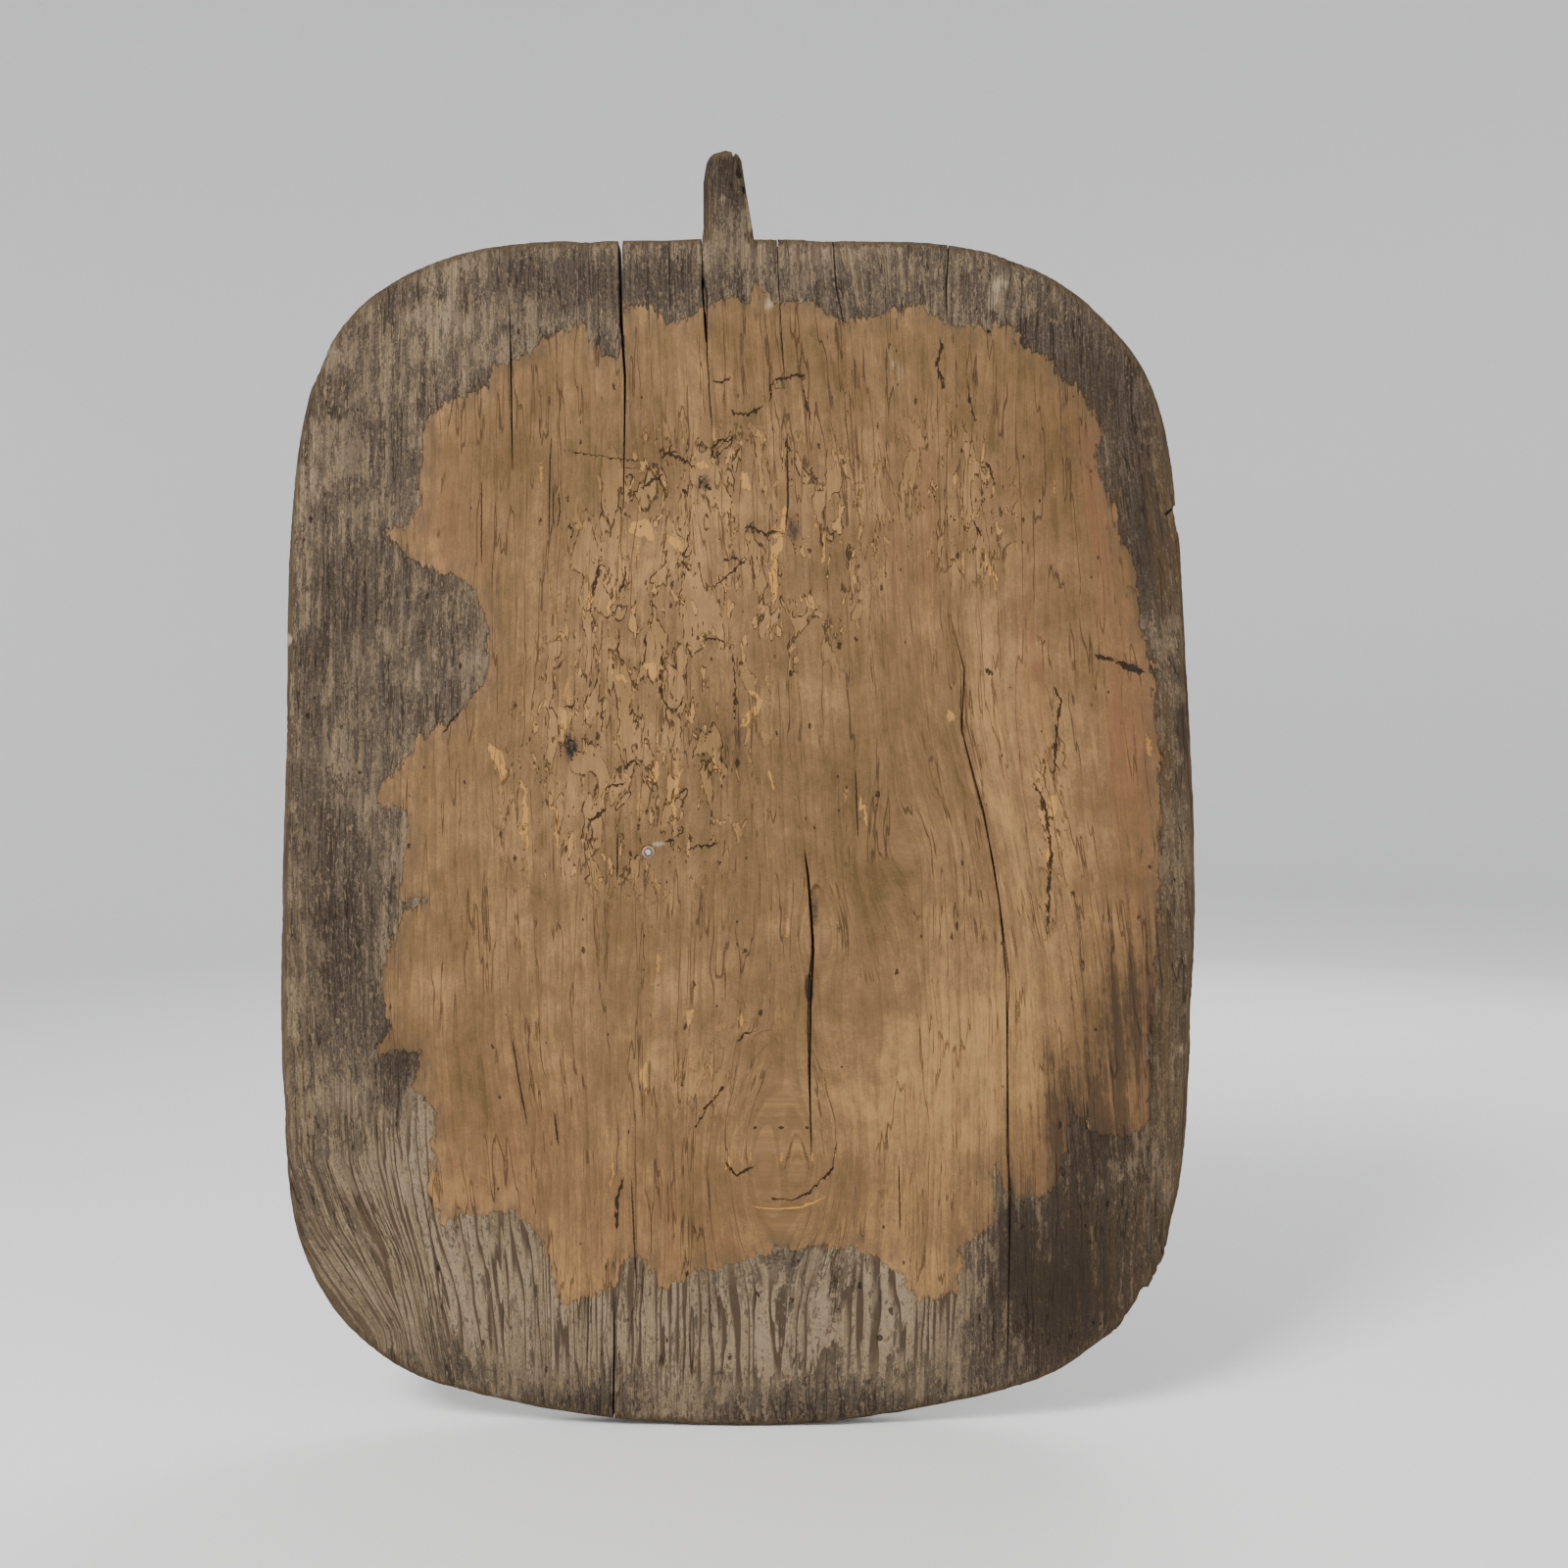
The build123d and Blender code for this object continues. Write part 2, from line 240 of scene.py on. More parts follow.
class BoardSettings(bpy.types.PropertyGroup):
    face_grid: bpy.props.FloatProperty(
        name="Face grid", description="Spacing of the worn face's mesh", default=3.0 * MM, unit="LENGTH"
    )
    back_grid: bpy.props.FloatProperty(
        name="Back grid", description="Spacing of the back's mesh", default=9 * MM, unit="LENGTH"
    )
    hollow: bpy.props.FloatProperty(
        name="Hollow", description="How far kneading has worn the middle down",
        default=0.9 * MM, unit="LENGTH",
    )
    tool_marks: bpy.props.FloatProperty(
        name="Tool marks", description="Height of the plane and knife undulations",
        default=0.35 * MM, unit="LENGTH",
    )
    closed: bpy.props.FloatProperty(
        name="Closed checks", description="How far the two checks beside the handle have closed up",
        default=0.6, min=0, max=1,
    )
    edge_loss: bpy.props.FloatProperty(
        name="Edge loss", description="Most wood lost from the rim", default=1.1 * MM, unit="LENGTH"
    )
    scraped_dark: bpy.props.FloatVectorProperty(
        name="Scraped, dark", description="Dark streaks of the scraped wood", subtype="COLOR",
        default=(0.095, 0.057, 0.023), min=0, max=1,
    )
    scraped_middle: bpy.props.FloatVectorProperty(
        name="Scraped, middle", description="Usual colour of the scraped wood", subtype="COLOR",
        default=(0.165, 0.094, 0.043), min=0, max=1,
    )
    scraped_light: bpy.props.FloatVectorProperty(
        name="Scraped, light", description="Light streaks of the scraped wood", subtype="COLOR",
        default=(0.3, 0.17, 0.068), min=0, max=1,
    )
    scraped_red: bpy.props.FloatVectorProperty(
        name="Scraped, reddish", description="Reddish streaks of the scraped wood", subtype="COLOR",
        default=(0.147, 0.064, 0.031), min=0, max=1,
    )
    # Also the colour of the darker patches and of the painted shade on the handle's left side.
    crust_black: bpy.props.FloatVectorProperty(
        name="Crust, darkest", description="Darkest skin of the crust", subtype="COLOR",
        default=(0.024, 0.017, 0.012), min=0, max=1,
    )
    crust_dark: bpy.props.FloatVectorProperty(
        name="Crust, dark", description="Usual colour of the dark skin", subtype="COLOR",
        default=(0.052, 0.039, 0.028), min=0, max=1,
    )
    crust_middle: bpy.props.FloatVectorProperty(
        name="Crust, middle", description="Lightest skin and darkest bleached wood", subtype="COLOR",
        default=(0.097, 0.073, 0.05), min=0, max=1,
    )
    crust_bleached: bpy.props.FloatVectorProperty(
        name="Crust, bleached", description="Bleached wood under the skin", subtype="COLOR",
        default=(0.161, 0.116, 0.071), min=0, max=1,
    )
    crust_light: bpy.props.FloatVectorProperty(
        name="Crust, light", description="Lightest bleached wood", subtype="COLOR",
        default=(0.236, 0.178, 0.112), min=0, max=1,
    )
    comb_colour: bpy.props.FloatVectorProperty(
        name="Combed lines", description="Late wood that stands dark in the crust", subtype="COLOR",
        default=(0.063, 0.043, 0.027), min=0, max=1,
    )
    film_colour: bpy.props.FloatVectorProperty(
        name="Film", description="Thin grey film beside the crust", subtype="COLOR",
        default=(0.093, 0.062, 0.036), min=0, max=1,
    )
    rim_colour: bpy.props.FloatVectorProperty(
        name="Rim, light", description="Hand-worn wood round the rim", subtype="COLOR",
        default=(0.092, 0.064, 0.036), min=0, max=1,
    )
    rim_dark: bpy.props.FloatVectorProperty(
        name="Rim, dark", description="Dark streaks of the rim", subtype="COLOR",
        default=(0.045, 0.030, 0.018), min=0, max=1,
    )
    chip_colour: bpy.props.FloatVectorProperty(
        name="Fresh chip", description="Fresh wood in chips and galleries", subtype="COLOR",
        default=(0.43, 0.215, 0.045), min=0, max=1,
    )
    chip_middle: bpy.props.FloatVectorProperty(
        name="Old chip", description="Bared layers in the worm-eaten part", subtype="COLOR",
        default=(0.36, 0.2, 0.072), min=0, max=1,
    )
    crack_colour: bpy.props.FloatVectorProperty(
        name="Crack", description="Dirt and shade in checks and scars", subtype="COLOR",
        default=(0.012, 0.007, 0.004), min=0, max=1,
    )
    stain_colour: bpy.props.FloatVectorProperty(
        name="Iron stain", description="Blue-black stain beside iron", subtype="COLOR",
        default=(0.02, 0.017, 0.016), min=0, max=1,
    )
    # Also the colour of the painted light on the handle's right side.
    pale_colour: bpy.props.FloatVectorProperty(
        name="Pale scuff", description="Pale scuffs", subtype="COLOR",
        default=(0.3, 0.235, 0.15), min=0, max=1,
    )


class IronSettings(bpy.types.PropertyGroup):
    bright: bpy.props.FloatVectorProperty(
        name="Bright iron", description="Metal rubbed bright", subtype="COLOR",
        default=(0.62, 0.58, 0.55), min=0, max=1,
    )
    dusty: bpy.props.FloatVectorProperty(
        name="Dusty iron", description="Pale filmed iron at the edge of the head", subtype="COLOR",
        default=(0.30, 0.19, 0.135), min=0, max=1,
    )
    rust: bpy.props.FloatVectorProperty(
        name="Rust", description="Dark rust on the iron", subtype="COLOR",
        default=(0.060, 0.036, 0.024), min=0, max=1,
    )
    crown: bpy.props.FloatProperty(
        name="Crown", description="Height of the hammered dome on the big head",
        default=0.9 * MM, unit="LENGTH",
    )


class StageSettings(bpy.types.PropertyGroup):
    floor_radius: bpy.props.FloatProperty(
        name="Floor radius", description="Flat part of the pale floor", default=3.2, unit="LENGTH"
    )
    cove_radius: bpy.props.FloatProperty(
        name="Cove radius", description="Sweep from the floor up to the wall", default=1.6, unit="LENGTH"
    )
    floor_colour: bpy.props.FloatVectorProperty(
        name="Floor", description="Pale studio floor", subtype="COLOR",
        default=(0.84, 0.84, 0.83), min=0, max=1
    )
    camera_distance: bpy.props.FloatProperty(
        name="Camera distance", description="From the worn face to the lens", default=1.119, unit="LENGTH"
    )
    camera_side: bpy.props.FloatProperty(
        name="Camera side step", description="Camera to the right of the middle", default=0.033, unit="LENGTH"
    )
    camera_height: bpy.props.FloatProperty(
        name="Camera height", description="Height of the lens over the floor", default=0.4597, unit="LENGTH"
    )
    key_power: bpy.props.FloatProperty(
        name="Key light", description="Power of the large front light, watts", default=150.0, min=0
    )
    fill_power: bpy.props.FloatProperty(
        name="Fill light", description="Power of the side light, watts", default=26.0, min=0
    )
    back_power: bpy.props.FloatProperty(
        name="Back light", description="Power of the light behind the board, watts", default=52.0, min=0
    )
    sky: bpy.props.FloatProperty(
        name="Sky", description="Strength of the pale surroundings", default=0.44, min=0
    )


# ------------------------------------------------------------------ helpers


class Bench:
    """Adds nodes to one node tree and joins them up."""

    def __init__(self, tree):
        self.tree = tree
        self.count = 0

    def add(self, kind, **choices):
        node = self.tree.nodes.new(kind)
        node.location = (180 * (self.count % 12), -220 * (self.count // 12))
        self.count += 1
        for name, value in choices.items():
            setattr(node, name, value)
        return node

    def feed(self, socket, value):
        if isinstance(value, bpy.types.NodeSocket):
            self.tree.links.new(value, socket)
        else:
            socket.default_value = value

    def sum(self, kind, a, b=0.0, c=0.0, clamp=False):
        node = self.add("ShaderNodeMath", operation=kind, use_clamp=clamp)
        for socket, value in zip(node.inputs, (a, b, c)):
            self.feed(socket, value)
        return node.outputs[0]

    def times(self, a, b):
        return self.sum("MULTIPLY", a, b)

    def most(self, a, b):
        return self.sum("MAXIMUM", a, b)

    def span(self, value, low, high, to_low=0.0, to_high=1.0, shape="SMOOTHSTEP"):
        node = self.add("ShaderNodeMapRange", interpolation_type=shape)
        for socket, given in zip(node.inputs, (value, low, high, to_low, to_high)):
            self.feed(socket, given)
        return node.outputs[0]

    def blend(self, share, a, b, way="MIX"):
        node = self.add("ShaderNodeMix", data_type="RGBA", blend_type=way)
        self.feed(node.inputs[0], share)
        self.feed(node.inputs[6], a)
        self.feed(node.inputs[7], b)
        return node.outputs[2]

    def noise(self, vector, scale, detail=3.0, rough=0.55, twist=0.0):
        node = self.add("ShaderNodeTexNoise")
        self.feed(node.inputs["Vector"], vector)
        self.feed(node.inputs["Scale"], scale)
        self.feed(node.inputs["Detail"], detail)
        self.feed(node.inputs["Roughness"], rough)
        self.feed(node.inputs["Distortion"], twist)
        return node.outputs["Fac"]

    def stretch(self, vector, across, along, shift=0.0):
        """Scale a grain place: x and y by across, z by along, and slide it by shift."""
        scale = self.add("ShaderNodeCombineXYZ")
        for socket, value in zip(scale.inputs, (across, across, along)):
            self.feed(socket, value)
        product = self.add("ShaderNodeVectorMath", operation="MULTIPLY")
        self.feed(product.inputs[0], vector)
        self.feed(product.inputs[1], scale.outputs[0])
        moved = self.add("ShaderNodeVectorMath", operation="ADD")
        self.feed(moved.inputs[0], product.outputs[0])
        slide = self.add("ShaderNodeCombineXYZ")
        for socket in slide.inputs:
            self.feed(socket, shift)
        self.feed(moved.inputs[1], slide.outputs[0])
        return moved.outputs[0]

    def value_of(self, name):
        return self.add("ShaderNodeAttribute", attribute_name=name).outputs["Fac"]

    def place_of(self, name):
        return self.add("ShaderNodeAttribute", attribute_name=name).outputs["Vector"]

    def group(self, tree, **given):
        node = self.add("ShaderNodeGroup", node_tree=tree)
        for name, value in given.items():
            self.feed(node.inputs[name.replace("_", " ")], value)
        return node.outputs


def new_group(name, inputs, outputs):
    """An empty shader node group: inputs give each value's default, or None for a place."""
    tree = bpy.data.node_groups.new(name, "ShaderNodeTree")
    for label, default in inputs.items():
        kind = "NodeSocketVector" if default is None else "NodeSocketFloat"
        socket = tree.interface.new_socket(label, in_out="INPUT", socket_type=kind)
        if default is not None:
            socket.default_value = default
    for label in outputs:
        tree.interface.new_socket(label, in_out="OUTPUT", socket_type="NodeSocketFloat")
    bench = Bench(tree)
    return tree, bench, bench.add("NodeGroupInput").outputs, bench.add("NodeGroupOutput").inputs


def colour(rgb):
    return (*rgb, 1.0)


# ------------------------------------------------------------------ shader groups


def fibre_group():
    """Soft streaks that run with the grain."""
    tree, bench, given, out = new_group(
        "Fibre Streaks",
        {"Grain": None, "Across": 60.0, "Along": 3.0, "Detail": 3.0, "Shift": 0.0},
        ["Streak"],
    )
    place = bench.stretch(given["Grain"], given["Across"], given["Along"], given["Shift"])
    bench.feed(out["Streak"], bench.noise(place, 1.0, given["Detail"], 0.6))
    return tree


def ring_group():
    """Year rings cut along the tree: each darkens slowly and ends sharply."""
    tree, bench, given, out = new_group(
        "Year Rings",
        {"Grain": None, "Wander": 0.5, "Rings": 140.0, "Waver": 1.2, "Sharpness": 3.0},
        ["Late Wood"],
    )
    split = bench.add("ShaderNodeSeparateXYZ")
    bench.feed(split.inputs[0], given["Grain"])
    waver = bench.times(given["Wander"], given["Waver"])
    ring = bench.sum("FRACT", bench.sum("MULTIPLY_ADD", split.outputs[0], given["Rings"], waver))
    late = bench.sum("POWER", ring, given["Sharpness"])
    bench.feed(out["Late Wood"], bench.times(late, bench.span(ring, 0.93, 1.0, 1.0, 0.0)))
    return tree


def stroke_group():
    """A drawn line with ragged sides, from its distance and half width in millimetres."""
    tree, bench, given, out = new_group(
        "Ragged Line",
        {"Side": 9.0, "Half Width": 0.0, "Rough": 0.5, "Ragged": 0.5, "Soft": 0.2},
        ["Line"],
    )
    shift = bench.times(bench.sum("SUBTRACT", given["Rough"], 0.5), given["Ragged"])
    away = bench.sum("ABSOLUTE", bench.sum("MULTIPLY_ADD", shift, 3.0, given["Side"]))
    gap = bench.sum("SUBTRACT", bench.sum("MULTIPLY_ADD", shift, 0.8, given["Half Width"]), away)
    inside = bench.span(gap, bench.times(given["Soft"], -1.0), given["Soft"])
    drawn = bench.span(given["Half Width"], 0.05, 0.25)
    bench.feed(out["Line"], bench.times(inside, drawn))
    return tree


def fleck_group():
    """Scattered flecks stretched along the grain; Share is how many of the cells hold one."""
    tree, bench, given, out = new_group(
        "Flecks",
        {"Grain": None, "Rough": 0.5, "Across": 150.0, "Along": 40.0, "Reach": 0.25, "Share": 0.3,
         "Shift": 0.0},
        ["Fleck"],
    )
    place = bench.stretch(given["Grain"], given["Across"], given["Along"], given["Shift"])
    cells = bench.add("ShaderNodeTexVoronoi", feature="F1")
    bench.feed(cells.inputs["Vector"], place)
    bench.feed(cells.inputs["Scale"], 1.0)
    pick = bench.add("ShaderNodeSeparateColor")
    bench.feed(pick.inputs[0], cells.outputs["Color"])
    held = bench.sum("LESS_THAN", pick.outputs[0], given["Share"])
    size = bench.times(given["Reach"], bench.span(pick.outputs[1], 0.0, 1.0, 0.45, 1.2, "LINEAR"))
    reach = bench.times(size, bench.span(given["Rough"], 0.3, 0.7, 0.35, 1.6, "LINEAR"))
    inside = bench.span(bench.sum("SUBTRACT", reach, cells.outputs["Distance"]), -0.03, 0.03)
    bench.feed(out["Fleck"], bench.times(inside, held))
    return tree


def flake_group():
    """Thin layers that have lifted off: Flaked is the bared patch, and the other output is painted shade along
    its broken edge.
    """
    tree, bench, given, out = new_group(
        "Lifted Layers",
        {"Grain": None, "Across": 60.0, "Along": 28.0, "Level": 0.58, "Broken": 1.0, "Shift": 0.0},
        ["Flaked", "Edge Shade"],
    )
    place = bench.stretch(given["Grain"], given["Across"], given["Along"], given["Shift"])
    height = bench.noise(place, 1.0, 3.5, 0.56, 0.5)
    over = bench.sum("SUBTRACT", height, given["Level"])
    bench.feed(out["Flaked"], bench.span(over, -0.006, 0.006))
    edge = bench.span(bench.sum("ABSOLUTE", over), 0.004, 0.016, 1.0, 0.0)
    bench.feed(out["Edge Shade"], bench.times(edge, given["Broken"]))
    return tree


def crack_group():
    """Thin wandering cracks that follow the grain, kept where Where is high."""
    tree, bench, given, out = new_group(
        "Wandering Cracks",
        {"Grain": None, "Across": 60.0, "Along": 8.0, "Width": 0.006, "Where": 1.0, "Shift": 0.0},
        ["Crack"],
    )
    place = bench.stretch(given["Grain"], given["Across"], given["Along"], given["Shift"])
    level = bench.sum("ABSOLUTE", bench.sum("SUBTRACT", bench.noise(place, 1.0, 3.0, 0.55), 0.5))
    line = bench.span(level, bench.times(given["Width"], 0.3), given["Width"], 1.0, 0.0)
    bench.feed(out["Crack"], bench.times(line, given["Where"]))
    return tree


def build_groups():
    return {
        "fibre": fibre_group(), "ring": ring_group(), "stroke": stroke_group(),
        "fleck": fleck_group(), "flake": flake_group(), "crack": crack_group(),
    }


# ------------------------------------------------------------------ wood material


def shared_textures(bench, kit, grain):
    """The noises that several layers of the wood read."""
    def fibre(across, along, detail, shift):
        return bench.group(
            kit["fibre"], Grain=grain, Across=across, Along=along, Detail=detail, Shift=shift
        )["Streak"]

    texture = {
        "fine": fibre(900.0, 24.0, 2.0, 7.7),
        "streak": fibre(270.0, 5.5, 3.0, 3.1),
        "broad": fibre(48.0, 3.4, 3.0, 0.0),
        "mottle": fibre(150.0, 62.0, 4.0, 11.0),
        "chip": fibre(420.0, 150.0, 3.0, 17.0),
        "shred": fibre(230.0, 24.0, 4.0, 23.0),
        "blotch": bench.noise(grain, 24.0, 4.0, 0.6),
        "speck": bench.noise(grain, 620.0, 2.0, 0.6),
    }
    texture["ring"] = bench.group(
        kit["ring"], Grain=grain, Wander=texture["broad"], Rings=118.0, Waver=7.0, Sharpness=2.2
    )["Late Wood"]
    return texture


def weigh(bench, start, texture, weights):
    """start plus each named texture's swing about its middle times its weight."""
    total = start
    for name, weight in weights.items():
        total = bench.sum("MULTIPLY_ADD", bench.sum("SUBTRACT", texture[name], 0.5), weight, total)
    return total


def three_tones(bench, value, dark, middle, light):
    """Dark at 0, middle at 0.5 and light at 1."""
    lower = bench.blend(bench.span(value, 0.0, 0.5, shape="LINEAR"), colour(dark), colour(middle))
    return bench.blend(bench.span(value, 0.5, 1.0, shape="LINEAR"), lower, colour(light))


def two_tones(bench, texture, first, second):
    """Fine streaks of two colours."""
    return bench.blend(bench.span(texture["fine"], 0.35, 0.65), colour(first), colour(second))


def scraped_wood(bench, settings, texture, marks):
    """Colour of the brown scraped middle."""
    light = weigh(
        bench, 0.52, texture,
        {"broad": 0.9, "streak": 0.55, "fine": 0.5, "blotch": 1.3, "mottle": 0.9, "speck": 0.5},
    )
    light = bench.sum("MULTIPLY_ADD", texture["ring"], -0.22, light)
    light = bench.sum("MULTIPLY_ADD", marks["tone"], 0.42, light)
    wood = three_tones(bench, light, settings.scraped_dark, settings.scraped_middle, settings.scraped_light)
    warm = bench.times(marks["red"], bench.span(texture["broad"], 0.42, 0.58, 0.1, 1.0))
    wood = bench.blend(warm, wood, colour(settings.scraped_red))
    hairline = bench.times(bench.span(texture["fine"], 0.60, 0.68), bench.span(texture["streak"], 0.53, 0.66))
    return bench.blend(bench.times(hairline, 0.5), wood, colour(settings.scraped_dark))


def crust(bench, settings, texture, marks):
    """Colour of the grey border, and where its dark skin still covers the bleached wood."""
    cover = weigh(
        bench, 0.5, texture,
        {"shred": 1.1, "mottle": 0.8, "chip": 0.9, "streak": 0.5, "blotch": 0.9, "fine": 0.6},
    )
    cover = bench.sum("MULTIPLY_ADD", marks["tone"], -0.30, cover)
    skin = bench.span(cover, 0.465, 0.535)
    worn_skin = bench.span(cover, 0.46, 0.66, 0.74, 1.0)
    bleached = weigh(
        bench, 0.48, texture, {"fine": 1.5, "streak": 1.1, "speck": 1.1, "broad": 0.9, "mottle": 0.7}
    )
    bleached = bench.sum("MULTIPLY_ADD", marks["tone"], 0.30, bleached)
    wood = three_tones(
        bench, bleached, settings.crust_middle, settings.crust_bleached, settings.crust_light
    )
    combed = bench.span(texture["ring"], 0.18, 0.62)
    combed = bench.times(combed, bench.span(marks["tone"], -0.1, 0.5, 0.25, 1.0))
    wood = bench.blend(combed, wood, colour(settings.comb_colour))
    nick = bench.span(texture["chip"], 0.42, 0.37)
    wood = bench.blend(bench.times(nick, 0.7), wood, colour(settings.crust_dark))
    depth = weigh(bench, 0.55, texture, {"speck": 1.4, "fine": 2.2, "streak": 1.7, "mottle": 0.9})
    depth = bench.sum("MULTIPLY_ADD", marks["tone"], 0.30, depth)
    dark = three_tones(bench, depth, settings.crust_black, settings.crust_dark, settings.crust_middle)
    bared = bench.span(texture["chip"], 0.58, 0.62, 0.0, bench.span(marks["tone"], -1.2, 0.0, 0.2, 0.8))
    dark = bench.blend(bared, dark, colour(settings.crust_bleached))
    grey = bench.blend(bench.times(skin, worn_skin), wood, dark)
    browned = bench.times(marks["red"], bench.span(texture["streak"], 0.35, 0.6, 0.65, 0.15))
    return bench.blend(browned, grey, colour(settings.scraped_dark)), skin


def wood_material(kit, settings):
    """Weathered softwood: grey crust, scraped brown middle, worn rim, checks, scars and fresh chips."""
    material = bpy.data.materials.new("weathered_softwood")
    material.use_nodes = True
    tree = material.node_tree
    tree.nodes.clear()
    bench = Bench(tree)
    grain = bench.place_of("grain")
    names = ("bare", "tone", "red", "worm", "dark_and_shade", "stain", "pale", "rim")
    marks = {name: bench.value_of(name) for name in names}
    texture = shared_textures(bench, kit, grain)
    brown = scraped_wood(bench, settings, texture, marks)
    grey, skin = crust(bench, settings, texture, marks)

    # The crust ends in a broken line: noise in millimetres is added to the distance from it.
    drift = weigh(
        bench, 0.0, texture, {"shred": 10.0, "mottle": 15.0, "chip": 8.0, "blotch": 12.0, "fine": 4.0}
    )
    inwards = bench.sum("ADD", marks["bare"], drift)
    scraped = bench.span(inwards, -0.6, 0.6)
    patchy = bench.span(texture["mottle"], 0.44, 0.56, 1.0, 0.3)
    film = bench.times(bench.span(inwards, 0.0, 18.0, 0.5, 0.0), patchy)
    body = bench.blend(film, brown, colour(settings.film_colour))
    body = bench.blend(scraped, grey, body)
    # A thin dark line along the crust's broken edge is painted shade under its step.
    step = bench.times(bench.span(bench.sum("ABSOLUTE", inwards), 0.0, 0.9, 1.0, 0.0), 0.3)

    # The rim is rubbed back to olive brown wood.
    rubbed = weigh(bench, marks["rim"], texture, {"streak": 1.3, "mottle": 0.9})
    rim = bench.span(rubbed, 0.45, 0.70, 0.0, 0.85)
    rim_wood = two_tones(bench, texture, settings.rim_colour, settings.rim_dark)
    body = bench.blend(rim, body, rim_wood)

    # Darker patches over both kinds of wood; the narrow strip down the handle's left side is painted shade.
    dark_and_shade_mix = weigh(bench, marks["dark_and_shade"], texture, {"mottle": 1.5, "chip": 0.8, "streak": 2.2, "fine": 1.1})
    body = bench.blend(bench.span(dark_and_shade_mix, 0.12, 1.1, 0.0, 0.8), body, colour(settings.crust_black))

    # Worm-eaten wood: lifted layers, tan dashes, dark pits.
    eaten = bench.times(bench.span(marks["worm"], 0.25, 0.7), scraped)
    broken = bench.span(texture["chip"], 0.42, 0.54)
    lifted = bench.group(kit["flake"], Grain=grain, Across=56.0, Along=20.0, Level=0.55, Broken=broken)
    deep = bench.group(
        kit["flake"], Grain=grain, Across=150.0, Along=50.0, Level=0.61, Broken=broken, Shift=9.0
    )
    pale_layer = bench.times(bench.times(lifted["Flaked"], eaten), 0.36)
    body = bench.blend(pale_layer, body, colour(settings.scraped_light))
    tan_layer = bench.times(bench.times(deep["Flaked"], eaten), 0.6)
    body = bench.blend(tan_layer, body, colour(settings.chip_middle))
    dash_share = bench.sum("MULTIPLY_ADD", marks["worm"], 0.18, 0.01)
    dashes = bench.group(
        kit["fleck"], Grain=grain, Rough=texture["speck"], Across=210.0, Along=38.0, Reach=0.26,
        Share=dash_share,
    )["Fleck"]
    chip_line = bench.group(
        kit["stroke"], Side=bench.value_of("chip_side"), Half_Width=bench.value_of("chip_half"),
        Rough=texture["mottle"], Ragged=5.0,
    )["Line"]
    tan = bench.most(bench.times(bench.times(dashes, scraped), 0.6), chip_line)
    chip_wood = two_tones(bench, texture, settings.chip_colour, settings.scraped_light)
    body = bench.blend(bench.times(tan, 0.85), body, chip_wood)

    # Dark marks: dirt and painted shade in checks, scars, cracks and worm pits, painted shade along the edges
    # of lifted layers, and the painted shade at the crust's step.
    edge_shade = bench.times(bench.most(lifted["Edge Shade"], deep["Edge Shade"]), eaten)
    pit_share = bench.sum("MULTIPLY_ADD", marks["worm"], 0.12, 0.05)
    pits = bench.group(
        kit["fleck"], Grain=grain, Rough=texture["speck"], Across=210.0, Along=95.0, Reach=0.2,
        Share=pit_share, Shift=21.0,
    )["Fleck"]
    cracked = bench.times(bench.span(texture["blotch"], 0.44, 0.54), bench.span(texture["speck"], 0.3, 0.5))
    crack = bench.group(
        kit["crack"], Grain=grain, Across=70.0, Along=5.5, Width=0.010, Where=cracked, Shift=30.0
    )["Crack"]
    lines = {}
    for name, rough, ragged in (("scar", "chip", 2.4), ("check", "speck", 0.5)):
        lines[name] = bench.group(
            kit["stroke"], Side=bench.value_of(name + "_side"), Half_Width=bench.value_of(name + "_half"),
            Rough=texture[rough], Ragged=ragged, Soft=0.2,
        )["Line"]
    dark = bench.most(bench.times(edge_shade, 0.75), bench.times(pits, 0.8))
    dark = bench.most(dark, bench.times(crack, 0.55))
    dark = bench.most(dark, bench.times(lines["scar"], 0.9))
    dark = bench.most(dark, bench.times(lines["check"], 0.9))
    shaded = bench.most(dark, step)
    body = bench.blend(shaded, body, colour(settings.crack_colour))

    # Iron stain and pale scuffs.
    inky = weigh(bench, marks["stain"], texture, {"mottle": 1.1, "speck": 0.8})
    inky = bench.span(inky, 0.25, 0.9, 0.0, 0.85)
    body = bench.blend(inky, body, colour(settings.stain_colour))
    # Pale scuffs, and the painted light on the handle's right side.
    scuff_and_light = weigh(bench, marks["pale"], texture, {"mottle": 1.4, "fine": 1.0})
    scuff_and_light = bench.span(scuff_and_light, 0.3, 0.8, 0.0, 0.75)
    body = bench.blend(scuff_and_light, body, colour(settings.pale_colour))

    height = bench.sum("MULTIPLY_ADD", texture["streak"], 0.5, bench.times(texture["fine"], 0.32))
    height = bench.sum("MULTIPLY_ADD", texture["speck"], 0.22, height)
    rough_crust = bench.sum("ADD", bench.times(texture["mottle"], 0.9), bench.times(skin, 0.25))
    rough_crust = bench.sum("MULTIPLY_ADD", texture["ring"], 0.35, bench.sum("ADD", rough_crust, 0.1))
    height = bench.sum("MULTIPLY_ADD", rough_crust, bench.sum("SUBTRACT", 1.0, scraped), height)
    height = bench.sum("MULTIPLY_ADD", pale_layer, -1.0, height)
    height = bench.sum("MULTIPLY_ADD", tan_layer, -0.8, height)
    height = bench.sum("MULTIPLY_ADD", tan, -0.4, height)
    height = bench.sum("MULTIPLY_ADD", dark, -1.2, height)

